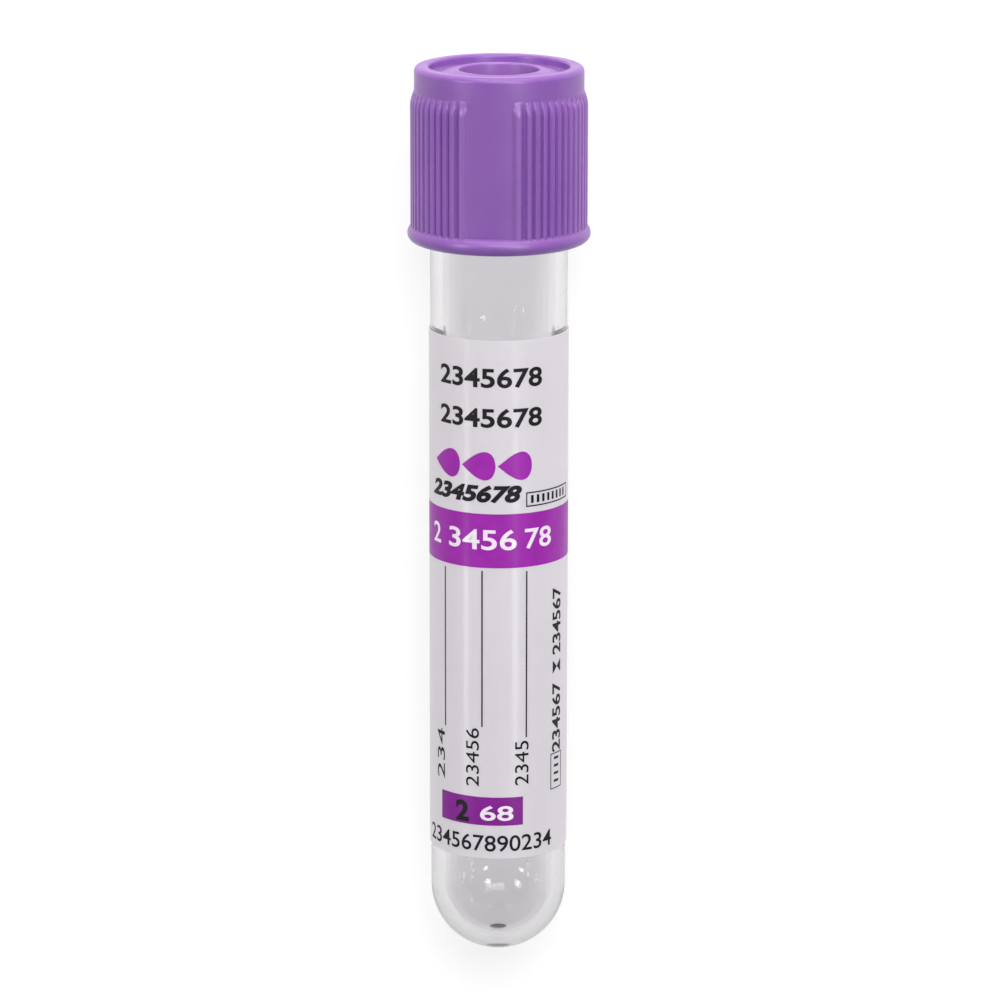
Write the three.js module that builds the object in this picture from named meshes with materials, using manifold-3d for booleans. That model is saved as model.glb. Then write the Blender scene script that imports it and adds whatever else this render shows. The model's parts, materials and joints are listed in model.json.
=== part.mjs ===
// Evacuated blood collection tube, 13 x 75 mm, with a ribbed pull-off closure.
//
// Each piece is modelled upright in the tube's own frame, with +Z along the tube's axis,
// z = 0 at the closed end and -Y as the front of the label. The whole tube is then laid on
// its side: it rests on the closure's flange and on the tube near its closed end, with the
// front of the label up and the closure towards +Y. Lengths are in millimetres.

import * as THREE from "three";
import { mergeVertices } from "three/addons/utils/BufferGeometryUtils.js";
import Module from "manifold-3d";

// Round pieces are prisms with this many flats, and a flat faces straight down.
const FLATS = 24;
const ARC_STEPS = 6;

// Tube: one moulding with a hemispherical end.
const TUBE_LENGTH = 75;
const TUBE_RADIUS = 6.4;
const WALL_AT_MOUTH = 1.1;
const WALL_AT_FOOT = 1.35;
const FLOOR_THICKNESS = 1.5;
const MOUTH_ROUNDING = 0.3;
const GATE_MARK_RADIUS = 0.8;
const GATE_MARK_DEPTH = 0.15;
const GATE_MARK_SLOPE = 0.1;

// Label: wraps the tube and leaves a clear strip open at the back.
const LABEL_THICKNESS = 0.09;
const LABEL_START = 10.75;
const LABEL_HEIGHT = 49.95;
const LABEL_WINDOW_DEG = 150;
const GLUE_GAP = 0.03;

// Closure shield: flange, ribbed grip, smooth top band and a dished top with a needle hole.
// Its skirt covers the tube's mouth to MOUTH_DEPTH and clears the tube all round.
const SHIELD_HEIGHT = 16.35;
const MOUTH_DEPTH = 6.14;
const SKIRT_CLEARANCE = 0.35;
const SKIRT_WALL = 1.1;
const SKIRT_LEAD_IN = 0.3;
const FLANGE_OVERHANG = 0.65;
const FLANGE_THICKNESS = 1.6;
const RIM_WIDTH = 1.35;
const RIM_ROUNDING = 0.5;
const RIM_INNER_ROUNDING = 0.25;
const DISH_DEPTH = 0.9;
const HOLE_RADIUS = 3.7;
const HOLE_EDGE_DEPTH = 0.3;
const HOLE_EDGE_ROUNDING = 0.2;
const TOP_PLATE_THICKNESS = 1.7;

// Grip: three smooth panels, each between two broad ridges, with narrow ribs between.
const PANEL_COUNT = 3;
const PANEL_TURN_DEG = -7.3;
const RIDGE_FROM_PANEL_DEG = 18;
const RIDGE_CREST_WIDTH = 0.66;
const RIDGE_BASE_WIDTH = 0.92;
const RIB_PITCH_DEG = 6;
const RIB_FROM_RIDGE_DEG = 9;
const RIB_CREST_WIDTH = 0.34;
const RIB_BASE_WIDTH = 0.6;
const GRIP_HEIGHT = 0.35;
const GRIP_ROOT_DEPTH = 0.3;
const GRIP_BORE_DEPTH = 0.6;
const GRIP_TOP = 14.1;
const GRIP_SLOPE = 1;

// Stopper: rubber plug in the tube's mouth, with a head inside the shield.
const PLUG_DEPTH = 5.5;
const PLUG_CLEARANCE = 0.08;
const PLUG_CHAMFER = 0.4;
const PLUG_WALL = 2.8;
const SEPTUM_THICKNESS = 3.4;
const SEAT_CLEARANCE = 0.1;
const HEAD_CLEARANCE = 0.15;
const NEEDLE_WELL_INSET = 0.3;
const NEEDLE_WELL_DEPTH = 2.6;

// Dried additive: small beads on the inside of the wall, each given by its turn from the
// front in degrees, its distance and its length along the tube. The distance is from the
// foot of the straight bore, or from the end of the plug, in towards the middle.
const FOOT_BEADS = [
  [-37, 1.15, 1.3],
  [-26, 2.05, 1.7],
  [31, 1.85, 2.2],
  [41, 0.65, 0.7],
  [-28, 0.5, 0.8],
];
const MOUTH_BEADS = [
  [16, 5.9, 0.7],
  [23, 6.3, 0.8],
  [-15, 6.7, 0.5],
];
const BEAD_WIDTH = 0.34;
const BEAD_THICKNESS = 0.16;
const BEAD_GAP = 0.03;
const BEAD_SIDES = 10;
const BEAD_RINGS = 6;

// Sizes that follow from the ones above.
const FLAT_ANGLE = (2 * Math.PI) / FLATS;
const FLAT_SHARE = Math.cos(FLAT_ANGLE / 2);
const SPHERE_HEIGHT = TUBE_RADIUS;
const BORE_AT_MOUTH = TUBE_RADIUS - WALL_AT_MOUTH;
const BORE_AT_FOOT = TUBE_RADIUS - WALL_AT_FOOT;
const BORE_FOOT_HEIGHT = FLOOR_THICKNESS + BORE_AT_FOOT;
const FLANGE_ROUNDING = FLANGE_THICKNESS / 2;
const SHIELD_START = TUBE_LENGTH - MOUTH_DEPTH;
const SKIRT_RADIUS = TUBE_RADIUS + SKIRT_CLEARANCE;
const BAND_RADIUS = SKIRT_RADIUS + SKIRT_WALL;
const FLANGE_RADIUS = BAND_RADIUS + FLANGE_OVERHANG;
const GRIP_RADIUS = BAND_RADIUS + GRIP_HEIGHT;
const DISH_RADIUS = BAND_RADIUS - RIM_WIDTH;
const PLATE_UNDERSIDE = SHIELD_HEIGHT - DISH_DEPTH - TOP_PLATE_THICKNESS;

const radians = THREE.MathUtils.degToRad;

const wasm = await Module();
wasm.setup();

/** Points of an arc about (radius, height), from one angle to the other, in degrees. */
function arc(radius, height, size, from, to) {
  return Array.from({ length: ARC_STEPS + 1 }, (_, step) => {
    const angle = radians(from + ((to - from) * step) / ARC_STEPS);
    return [radius + size * Math.cos(angle), height + size * Math.sin(angle)];
  });
}

/** Turns a profile of [radius, height] points about Z. It runs up the outside. */
function revolve(profile) {
  const points = profile.map(([radius, height]) => new THREE.Vector2(radius, height));
  const geometry = new THREE.LatheGeometry(points, FLATS, FLAT_ANGLE / 2);
  return tidy(geometry.rotateX(Math.PI / 2));
}

/** Merges equal corners and drops the triangles that have no area. */
function tidy(geometry) {
  geometry.deleteAttribute("normal");
  geometry.deleteAttribute("uv");
  const merged = mergeVertices(geometry, 1e-5);
  const corners = merged.index.array;
  const kept = [];
  for (let i = 0; i < corners.length; i += 3) {
    const [a, b, c] = corners.slice(i, i + 3);
    if (a !== b && b !== c && c !== a) kept.push(a, b, c);
  }
  merged.setIndex(kept);
  return merged;
}

/** Makes a solid for cutting and joining from a closed geometry. */
function toSolid(geometry) {
  const closed = tidy(geometry);
  return new wasm.Manifold(
    new wasm.Mesh({
      numProp: 3,
      vertProperties: Float32Array.from(closed.attributes.position.array),
      triVerts: Uint32Array.from(closed.index.array),
    }),
  );
}

/** Makes a geometry from a solid. */
function toGeometry(solid) {
  const mesh = solid.getMesh();
  const geometry = new THREE.BufferGeometry();
  geometry.setAttribute("position", new THREE.BufferAttribute(mesh.vertProperties, 3));
  geometry.setIndex(new THREE.BufferAttribute(mesh.triVerts, 1));
  return geometry;
}

/** Names a geometry as one piece, shaded flat. */
function piece(name, geometry, finish) {
  const flat = geometry.index ? geometry.toNonIndexed() : geometry;
  flat.computeVertexNormals();
  const mesh = new THREE.Mesh(flat, new THREE.MeshStandardMaterial(finish));
  mesh.name = name;
  return mesh;
}

/** Point at a turn from the front, in radians, on a circle about Z. */
function around(radius, turn) {
  return new THREE.Vector2(radius * Math.sin(turn), -radius * Math.cos(turn));
}

/** Bore radius of the tube at a height, between the foot and the mouth. */
function boreRadius(height) {
  const share = (height - BORE_FOOT_HEIGHT) / (TUBE_LENGTH - BORE_FOOT_HEIGHT);
  return THREE.MathUtils.lerp(BORE_AT_FOOT, BORE_AT_MOUTH, THREE.MathUtils.clamp(share, 0, 1));
}

function makeTube() {
  const gateEdge = GATE_MARK_RADIUS + GATE_MARK_SLOPE;
  const gateAngle = -THREE.MathUtils.radToDeg(Math.acos(gateEdge / TUBE_RADIUS));
  const outerFoot = arc(0, SPHERE_HEIGHT, TUBE_RADIUS, gateAngle, 0);
  const gateTop = outerFoot[0][1] + GATE_MARK_DEPTH;
  const lipCentre = TUBE_LENGTH - MOUTH_ROUNDING;
  return revolve([
    [0, gateTop],
    [GATE_MARK_RADIUS, gateTop],
    ...outerFoot,
    ...arc(TUBE_RADIUS - MOUTH_ROUNDING, lipCentre, MOUTH_ROUNDING, 0, 90),
    ...arc(BORE_AT_MOUTH + MOUTH_ROUNDING, lipCentre, MOUTH_ROUNDING, 90, 180),
    ...arc(0, BORE_FOOT_HEIGHT, BORE_AT_FOOT, 0, -90),
  ]);
}

/** Strip bent round the tube, with its ends on either side of the clear strip. */
function makeLabel() {
  const inner = TUBE_RADIUS + GLUE_GAP;
  const outer = inner + LABEL_THICKNESS;
  const end = Math.PI - radians(LABEL_WINDOW_DEG) / 2;
  const turns = [-end];
  for (let corner = FLAT_ANGLE / 2 - Math.PI; corner < end; corner += FLAT_ANGLE) {
    if (corner > -end + 1e-6 && corner < end - 1e-6) turns.push(corner);
  }
  turns.push(end);
  const outline = [
    ...turns.map((turn) => around(flatRadius(outer, turn), turn)),
    ...turns.reverse().map((turn) => around(flatRadius(inner, turn), turn)),
  ];
  const strip = new THREE.Shape(outline);
  const geometry = new THREE.ExtrudeGeometry(strip, { depth: LABEL_HEIGHT, bevelEnabled: false });
  return tidy(geometry.translate(0, 0, LABEL_START));
}

/** Distance from the axis to a prism's side at a turn, for a prism of this corner radius. */
function flatRadius(radius, turn) {
  const flatCentre = Math.round(turn / FLAT_ANGLE) * FLAT_ANGLE;
  return (radius * FLAT_SHARE) / Math.cos(turn - flatCentre);
}

function makeBead(turnDeg, height, length) {
  const seat = boreRadius(height) * FLAT_SHARE - BEAD_GAP - BEAD_THICKNESS / 2;
  const place = around(seat, radians(turnDeg));
  const geometry = new THREE.SphereGeometry(0.5, BEAD_SIDES, BEAD_RINGS);
  geometry.scale(BEAD_WIDTH, length, BEAD_THICKNESS);
  geometry.rotateX(Math.PI / 2).rotateZ(radians(turnDeg));
  return tidy(geometry.translate(place.x, place.y, height));
}

/** The shield without its grip: a shell of revolution, open below, with a holed top. */
function makeShell() {
  const flangeCentre = FLANGE_RADIUS - FLANGE_ROUNDING;
  const meetsBand = THREE.MathUtils.radToDeg(
    Math.acos((BAND_RADIUS - flangeCentre) / FLANGE_ROUNDING),
  );
  const dishFloor = SHIELD_HEIGHT - DISH_DEPTH;
  const holeEdge = SHIELD_HEIGHT - HOLE_EDGE_DEPTH - HOLE_EDGE_ROUNDING;
  const start = [SKIRT_RADIUS + SKIRT_LEAD_IN, 0];
  return revolve([
    start,
    ...arc(flangeCentre, FLANGE_ROUNDING, FLANGE_ROUNDING, -90, 0),
    ...arc(flangeCentre, FLANGE_ROUNDING, FLANGE_ROUNDING, 0, meetsBand).slice(1),
    ...arc(BAND_RADIUS - RIM_ROUNDING, SHIELD_HEIGHT - RIM_ROUNDING, RIM_ROUNDING, 0, 90),
    ...arc(
      DISH_RADIUS + RIM_INNER_ROUNDING,
      SHIELD_HEIGHT - RIM_INNER_ROUNDING,
      RIM_INNER_ROUNDING,
      90,
      180,
    ),
    [DISH_RADIUS, dishFloor],
    ...arc(HOLE_RADIUS + HOLE_EDGE_ROUNDING, holeEdge, HOLE_EDGE_ROUNDING, 75, 180),
    [HOLE_RADIUS, PLATE_UNDERSIDE],
    [SKIRT_RADIUS, PLATE_UNDERSIDE],
    [SKIRT_RADIUS, SKIRT_LEAD_IN],
    start,
  ]);
}

/** Turns of the grip's teeth from the front, as [turn, crest width, base width]. */
function gripTeeth() {
  const sector = 360 / PANEL_COUNT;
  const firstRib = RIDGE_FROM_PANEL_DEG + RIB_FROM_RIDGE_DEG;
  const teeth = [];
  for (let panel = 0; panel < PANEL_COUNT; panel += 1) {
    const centre = PANEL_TURN_DEG + panel * sector;
    teeth.push([centre + RIDGE_FROM_PANEL_DEG, RIDGE_CREST_WIDTH, RIDGE_BASE_WIDTH]);
    for (let turn = firstRib; turn <= sector - firstRib; turn += RIB_PITCH_DEG) {
      teeth.push([centre + turn, RIB_CREST_WIDTH, RIB_BASE_WIDTH]);
    }
    teeth.push([centre + sector - RIDGE_FROM_PANEL_DEG, RIDGE_CREST_WIDTH, RIDGE_BASE_WIDTH]);
  }
  return teeth;
}

/** Ring with the grip's teeth on the outside, its root hidden in the shell's wall. */
function makeGrip() {
  const root = BAND_RADIUS - GRIP_ROOT_DEPTH;
  const outline = gripTeeth().flatMap(([turnDeg, crest, base]) => {
    const turn = radians(turnDeg);
    const crestHalf = crest / 2 / GRIP_RADIUS;
    const baseHalf = base / 2 / BAND_RADIUS;
    return [
      around(root, turn - baseHalf),
      around(BAND_RADIUS, turn - baseHalf),
      around(GRIP_RADIUS, turn - crestHalf),
      around(GRIP_RADIUS, turn + crestHalf),
      around(BAND_RADIUS, turn + baseHalf),
      around(root, turn + baseHalf),
    ];
  });
  const ring = new THREE.Shape(outline);
  const bore = BAND_RADIUS - GRIP_BORE_DEPTH;
  const corners = Array.from({ length: FLATS }, (_, i) => around(bore, -i * FLAT_ANGLE));
  ring.holes.push(new THREE.Path(corners));
  const start = FLANGE_ROUNDING;
  const height = GRIP_TOP + GRIP_ROOT_DEPTH - start;
  const geometry = new THREE.ExtrudeGeometry(ring, { depth: height, bevelEnabled: false });
  return geometry.translate(0, 0, start);
}

/** Solid of revolution that slopes the upper ends of the grip's teeth back to the band. */
function makeGripLimit() {
  const wide = (GRIP_RADIUS + GRIP_HEIGHT) / FLAT_SHARE;
  const narrow = (BAND_RADIUS - GRIP_HEIGHT) / FLAT_SHARE;
  return revolve([
    [0, 0],
    [wide, 0],
    [wide, GRIP_TOP - 2 * GRIP_SLOPE],
    [narrow, GRIP_TOP + GRIP_SLOPE],
    [0, GRIP_TOP + GRIP_SLOPE],
  ]);
}

function makeShield() {
  const grip = toSolid(makeGrip()).intersect(toSolid(makeGripLimit()));
  return toGeometry(toSolid(makeShell()).add(grip));
}

function makeStopper() {
  const plug = boreRadius(TUBE_LENGTH - PLUG_DEPTH) - PLUG_CLEARANCE;
  const hollow = plug - PLUG_WALL;
  const head = SKIRT_RADIUS - HEAD_CLEARANCE;
  const well = HOLE_RADIUS - NEEDLE_WELL_INSET;
  const plugEnd = MOUTH_DEPTH - PLUG_DEPTH;
  const seat = MOUTH_DEPTH + SEAT_CLEARANCE;
  const headTop = PLATE_UNDERSIDE - HEAD_CLEARANCE;
  const septumTop = headTop - NEEDLE_WELL_DEPTH;
  const septumUnderside = septumTop - SEPTUM_THICKNESS;
  return revolve([
    [0, septumUnderside],
    [hollow, septumUnderside],
    [hollow, plugEnd],
    [plug - PLUG_CHAMFER, plugEnd],
    [plug, plugEnd + PLUG_CHAMFER],
    [plug, seat],
    [head, seat],
    [head, headTop],
    [well, headTop],
    [well, septumTop],
    [0, septumTop],
  ]);
}

const CLEAR_PLASTIC = {
  color: 0xdfe3e6,
  roughness: 0.08,
  metalness: 0,
  transparent: true,
  opacity: 0.4,
};
const LABEL_PAPER = { color: 0xdcd8e2, roughness: 0.4, metalness: 0 };
const LAVENDER_PLASTIC = { color: 0x8d5fb3, roughness: 0.35, metalness: 0 };
const GREY_RUBBER = { color: 0x77757a, roughness: 0.8, metalness: 0 };
const DRIED_ADDITIVE = { color: 0xf2f2f0, roughness: 0.5, metalness: 0 };

/** Tilt at which the flange and the tube's closed end touch one level surface. */
function restingTilt() {
  const drop = (FLANGE_RADIUS - TUBE_RADIUS) * FLAT_SHARE;
  return Math.atan(drop / (SHIELD_START + FLANGE_ROUNDING - SPHERE_HEIGHT));
}

/** The beads of dried additive, near the closed end and a little below the plug. */
function makeBeads() {
  const plugEnd = TUBE_LENGTH - PLUG_DEPTH;
  return [
    ...FOOT_BEADS.map(([turn, up, length]) => makeBead(turn, BORE_FOOT_HEIGHT + up, length)),
    ...MOUTH_BEADS.map(([turn, down, length]) => makeBead(turn, plugEnd - down, length)),
  ];
}

function makeTubeBody() {
  const body = new THREE.Group();
  body.add(piece("tube", makeTube(), CLEAR_PLASTIC));
  body.add(piece("label", makeLabel(), LABEL_PAPER));
  makeBeads().forEach((bead, i) => {
    body.add(piece(`additive_bead_${i + 1}`, bead, DRIED_ADDITIVE));
  });
  return body;
}

function makeClosure() {
  const closure = new THREE.Group();
  closure.add(piece("closure_shield", makeShield(), LAVENDER_PLASTIC));
  closure.add(piece("rubber_stopper", makeStopper(), GREY_RUBBER));
  closure.position.z = SHIELD_START;
  return closure;
}

/** Lays the upright tube on its side and puts the origin under its middle. */
function layDown(upright) {
  upright.rotation.x = restingTilt() - Math.PI / 2;
  const laid = new THREE.Group();
  laid.add(upright);
  const box = new THREE.Box3().setFromObject(laid, true);
  const middle = box.getCenter(new THREE.Vector3());
  upright.position.set(-middle.x, -middle.y, -box.min.z);
  return laid;
}

const upright = new THREE.Group();
upright.add(makeTubeBody(), makeClosure());

export default layDown(upright);
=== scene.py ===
import json
import logging
import math
import random
from dataclasses import dataclass, replace
from enum import Enum
from typing import Any, Sequence

import bmesh
import bpy
from mathutils import Matrix, Vector, noise

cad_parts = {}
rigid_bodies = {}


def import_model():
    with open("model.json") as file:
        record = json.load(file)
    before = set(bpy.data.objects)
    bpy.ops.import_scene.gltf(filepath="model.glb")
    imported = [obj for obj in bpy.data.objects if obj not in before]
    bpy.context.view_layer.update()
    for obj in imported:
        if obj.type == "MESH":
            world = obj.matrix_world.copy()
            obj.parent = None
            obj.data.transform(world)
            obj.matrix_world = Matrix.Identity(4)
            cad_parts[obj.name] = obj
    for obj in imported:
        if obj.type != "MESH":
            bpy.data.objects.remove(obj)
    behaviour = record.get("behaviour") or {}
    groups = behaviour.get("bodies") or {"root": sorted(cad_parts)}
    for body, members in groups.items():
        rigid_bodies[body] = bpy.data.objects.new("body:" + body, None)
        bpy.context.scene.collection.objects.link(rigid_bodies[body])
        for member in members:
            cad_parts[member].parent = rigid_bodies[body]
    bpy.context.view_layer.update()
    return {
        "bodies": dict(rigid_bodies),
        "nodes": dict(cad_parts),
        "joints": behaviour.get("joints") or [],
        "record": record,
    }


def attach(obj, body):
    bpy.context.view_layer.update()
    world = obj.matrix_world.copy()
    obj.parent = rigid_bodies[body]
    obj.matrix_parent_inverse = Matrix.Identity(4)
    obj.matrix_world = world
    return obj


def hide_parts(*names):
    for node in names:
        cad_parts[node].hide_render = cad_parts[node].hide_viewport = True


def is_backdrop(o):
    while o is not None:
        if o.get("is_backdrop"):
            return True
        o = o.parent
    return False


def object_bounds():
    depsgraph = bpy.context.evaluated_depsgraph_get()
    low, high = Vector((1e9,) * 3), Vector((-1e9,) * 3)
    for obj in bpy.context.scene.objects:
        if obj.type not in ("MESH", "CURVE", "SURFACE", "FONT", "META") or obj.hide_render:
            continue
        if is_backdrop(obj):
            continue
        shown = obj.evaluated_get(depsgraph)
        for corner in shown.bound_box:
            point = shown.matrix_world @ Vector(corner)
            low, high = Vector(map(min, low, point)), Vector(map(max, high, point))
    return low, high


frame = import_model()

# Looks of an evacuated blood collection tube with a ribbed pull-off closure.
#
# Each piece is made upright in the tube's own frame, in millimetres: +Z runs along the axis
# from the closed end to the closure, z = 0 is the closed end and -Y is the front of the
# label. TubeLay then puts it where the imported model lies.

LOG = logging.getLogger("blood_collection_tube")
MM = 0.001
MERGE_DISTANCE = 1e-4
SHARP_EDGE_DEG = 35.0

Profile = list[tuple[float, float]]


def linear(hex_colour: str) -> tuple[float, float, float, float]:
    """Turns an sRGB hex colour into a linear one.

    Args:
        hex_colour: six hex digits, such as "8e5db8".

    Returns:
        Linear red, green and blue, with an alpha of 1.
    """
    shares = [int(hex_colour[i : i + 2], 16) / 255 for i in (0, 2, 4)]
    red, green, blue = (s / 12.92 if s <= 0.04045 else ((s + 0.055) / 1.055) ** 2.4 for s in shares)
    return red, green, blue, 1.0


def arc(radius: float, height: float, size: float, start: float, end: float, steps: int) -> Profile:
    """Points of an arc in a profile.

    Args:
        radius: distance of the arc's centre from the axis.
        height: height of the arc's centre.
        size: radius of the arc.
        start: first angle in degrees; 0 points away from the axis and 90 points up.
        end: last angle in degrees.
        steps: number of straight steps.

    Returns:
        Points of (radius, height), both ends included.
    """
    angles = [math.radians(start + (end - start) * step / steps) for step in range(steps + 1)]
    return [(radius + size * math.cos(a), height + size * math.sin(a)) for a in angles]


def turn_mesh(mesh: bmesh.types.BMesh, degrees: float) -> None:
    """Turns a mesh about Z."""
    bmesh.ops.rotate(mesh, verts=mesh.verts, matrix=Matrix.Rotation(math.radians(degrees), 3, "Z"))


def to_data(mesh: bmesh.types.BMesh, name: str) -> bpy.types.Mesh:
    """Turns a working mesh into one that an object can hold; the working one is freed."""
    data = bpy.data.meshes.new(name)
    mesh.to_mesh(data)
    mesh.free()
    return data


def add_object(name: str, data: Any) -> bpy.types.Object:
    """Makes an object of a mesh, a curve, a light or a camera and links it to the scene."""
    made = bpy.data.objects.new(name, data)
    bpy.context.scene.collection.objects.link(made)
    return made


def spin_profile(profile: Profile, segments: int, first_turn: float = 0.0) -> bmesh.types.BMesh:
    """Spins a profile about Z into a closed mesh.

    Args:
        profile: points of (radius, height); it closes on itself or on the axis.
        segments: number of steps round the axis.
        first_turn: turn of the first step from the front, in degrees.

    Returns:
        The mesh, with seam and poles closed and faces pointing outwards.
    """
    mesh = bmesh.new()
    verts = [mesh.verts.new((0.0, -radius, height)) for radius, height in profile]
    edges = [mesh.edges.new(pair) for pair in zip(verts, verts[1:])]
    axis, geometry = (0, 0, 1), verts + edges
    bmesh.ops.spin(mesh, geom=geometry, axis=axis, angle=math.tau, steps=segments, use_merge=True)
    turn_mesh(mesh, first_turn)
    bmesh.ops.remove_doubles(mesh, verts=mesh.verts, dist=MERGE_DISTANCE)
    bmesh.ops.dissolve_degenerate(mesh, edges=mesh.edges, dist=MERGE_DISTANCE)
    bmesh.ops.recalc_face_normals(mesh, faces=mesh.faces)
    return mesh


def add_node(
    tree: bpy.types.NodeTree,
    kind: str,
    inputs: dict[Any, Any] | None = None,
    **settings: Any,
) -> Any:
    """Adds a node to a material's tree, with its settings and links.

    Args:
        tree: the node tree.
        kind: the node's type without its ShaderNode prefix.
        inputs: what goes into each input, by name or number: a value or another node's output.
        settings: attributes of the node itself.

    Returns:
        The node.
    """
    node = tree.nodes.new(f"ShaderNode{kind}")
    for name, value in settings.items():
        setattr(node, name, value)
    for key, value in (inputs or {}).items():
        if isinstance(value, bpy.types.NodeSocket):
            tree.links.new(value, node.inputs[key])
        else:
            node.inputs[key].default_value = value
    return node


def add_noise(tree: bpy.types.NodeTree, place: Any, size_mm: float, detail: float) -> Any:
    """Adds a soft noise, with spots of a given size, and returns the output of its value."""
    inputs = {"Vector": place, "Scale": 1 / (size_mm * MM), "Detail": detail}
    return add_node(tree, "TexNoise", inputs).outputs["Fac"]


def add_range(
    tree: bpy.types.NodeTree, value: Any, low: float, high: float, first: float = 0.0, last: float = 1.0
) -> Any:
    """Adds a step that takes low to first and high to last, and returns its output."""
    inputs = {"Value": value, "From Min": low, "From Max": high, "To Min": first, "To Max": last}
    return add_node(tree, "MapRange", inputs).outputs["Result"]


def add_mix(tree: bpy.types.NodeTree, share: Any, first: Any, second: Any) -> Any:
    """Adds a mix of two colours, by the second one's share, and returns its output."""
    return add_node(tree, "Mix", {0: share, 6: first, 7: second}, data_type="RGBA").outputs[2]


# ------------------------------------------------------------------------------ finishes


@dataclass(frozen=True)
class Finish:
    """A surface finish: colour with a slow drift, gloss, and a fine relief.

    Colours are sRGB hex. The drift is what batches, handling and age do to a plain colour,
    and the relief is what the tool or the paper leaves in the surface. A clear finish may
    also take light over its depth.
    """

    name: str
    colour: str
    drift_colour: str
    roughness: float
    ior: float
    drift_mm: float = 6.0
    gloss_change: float = 0.06
    gloss_mm: float = 2.0
    relief_mm: float = 0.3
    relief_depth_mm: float = 0.002
    relief_stretch: tuple[float, float, float] = (1.0, 1.0, 1.0)
    coat: float = 0.0
    coat_roughness: float = 0.1
    transmission: float = 0.0
    subsurface: float = 0.0
    subsurface_mm: float = 1.0
    subsurface_tint: tuple[float, float, float] = (1.0, 1.0, 1.0)
    specular: float = 0.5
    glow: float = 0.0
    absorbed_per_mm: float = 0.0
    absorbed_tint: str = "000000"

    def build(self) -> bpy.types.Material:
        """Makes the material, or finds it again where another piece has the same finish."""
        if self.name in bpy.data.materials:
            return bpy.data.materials[self.name]
        material = bpy.data.materials.new(self.name)
        material.use_nodes = True
        tree = material.node_tree
        tree.nodes.clear()
        place = add_node(tree, "TexCoord").outputs["Object"]
        shader = add_node(
            tree,
            "BsdfPrincipled",
            {
                "Base Color": self.colour_socket(tree, place),
                "Roughness": self.roughness_socket(tree, place),
                "Normal": self.relief_socket(tree, place),
                "IOR": self.ior,
                "Specular IOR Level": self.specular,
                "Coat Weight": self.coat,
                "Coat Roughness": self.coat_roughness,
                "Transmission Weight": self.transmission,
                "Subsurface Weight": self.subsurface,
                "Subsurface Radius": self.subsurface_tint,
                "Subsurface Scale": self.subsurface_mm * MM,
                "Emission Color": linear("ffffff"),
                "Emission Strength": self.glow,
            },
        )
        looks: dict[Any, Any] = {"Surface": shader.outputs["BSDF"]}
        if self.absorbed_per_mm:
            depth = {"Color": linear(self.absorbed_tint), "Density": self.absorbed_per_mm / MM}
            looks["Volume"] = add_node(tree, "VolumeAbsorption", depth).outputs["Volume"]
        add_node(tree, "OutputMaterial", looks)
        return material

    def colour_socket(self, tree: bpy.types.NodeTree, place: Any) -> Any:
        """Base colour: two near colours in soft patches."""
        patches = add_noise(tree, place, self.drift_mm, 2.0)
        share = add_range(tree, patches, 0.35, 0.65)
        return add_mix(tree, share, linear(self.colour), linear(self.drift_colour))

    def roughness_socket(self, tree: bpy.types.NodeTree, place: Any) -> Any:
        """Roughness: the finish's own value, a little more or less in patches."""
        patches = add_noise(tree, place, self.gloss_mm, 3.0)
        low = max(self.roughness - self.gloss_change / 2, 0.0)
        return add_range(tree, patches, 0.3, 0.7, low, low + self.gloss_change)

    def height_socket(self, tree: bpy.types.NodeTree, place: Any) -> Any:
        """Height of the relief, from 0 to 1: a soft grain."""
        stretched = add_node(tree, "Mapping", {"Vector": place, "Scale": self.relief_stretch})
        return add_noise(tree, stretched.outputs["Vector"], self.relief_mm, 2.0)

    def relief_socket(self, tree: bpy.types.NodeTree, place: Any) -> Any:
        """Normal with the relief on it."""
        depth, height = self.relief_depth_mm * MM, self.height_socket(tree, place)
        bump = add_node(tree, "Bump", {"Strength": 1.0, "Distance": depth, "Height": height})
        return bump.outputs["Normal"]


@dataclass(frozen=True)
class SaltFinish(Finish):
    """A dried salt: small grains with round tops instead of a soft grain."""

    def height_socket(self, tree: bpy.types.NodeTree, place: Any) -> Any:
        """Height of the relief, from 0 to 1: packed crystals."""
        inputs = {"Vector": place, "Scale": 1 / (self.relief_mm * MM)}
        return add_node(tree, "TexVoronoi", inputs, feature="SMOOTH_F1").outputs["Distance"]


@dataclass(frozen=True)
class DeepeningEndFinish(Finish):
    """A clear plastic whose colour deepens along the tube towards its closed end."""

    end_colour: str = "f3f2f4"
    end_from_mm: float = -31.0
    end_to_mm: float = -38.0

    def colour_socket(self, tree: bpy.types.NodeTree, place: Any) -> Any:
        """Base colour: the wall's own, deepening along the tube to the closed end's."""
        wall = super().colour_socket(tree, place)
        along = add_node(tree, "SeparateXYZ", {0: place}).outputs["Y"]
        share = add_range(tree, along, self.end_from_mm * MM, self.end_to_mm * MM)
        return add_mix(tree, share, wall, linear(self.end_colour))


# Polyethylene terephthalate, injection moulded: clear, with the faint long ripples that the
# flow leaves along the wall. It takes light over its depth, which keeps the sides of the tube
# grey, where one looks along the wall.
MOULDED_PET = DeepeningEndFinish(
    name="moulded_clear_pet",
    colour="fdfcfe",
    drift_colour="fbfafc",
    absorbed_per_mm=0.085,
    absorbed_tint="2a0f2a",
    roughness=0.05,
    ior=1.575,
    gloss_change=0.04,
    gloss_mm=4.0,
    relief_mm=1.6,
    relief_depth_mm=0.004,
    relief_stretch=(1.0, 0.15, 1.0),
    transmission=1.0,
)

# The same plastic where the gate broke off: torn and frosted, so it scatters light. Its mid grey is painted
# shade, for the dark look of the mark seen through the round end.
BROKEN_GATE = Finish(
    name="broken_gate_pet",
    colour="8c8a8c",
    drift_colour="7a787a",
    roughness=0.6,
    ior=1.575,
    drift_mm=0.3,
    relief_mm=0.15,
    relief_depth_mm=0.05,
    transmission=0.35,
)

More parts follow.
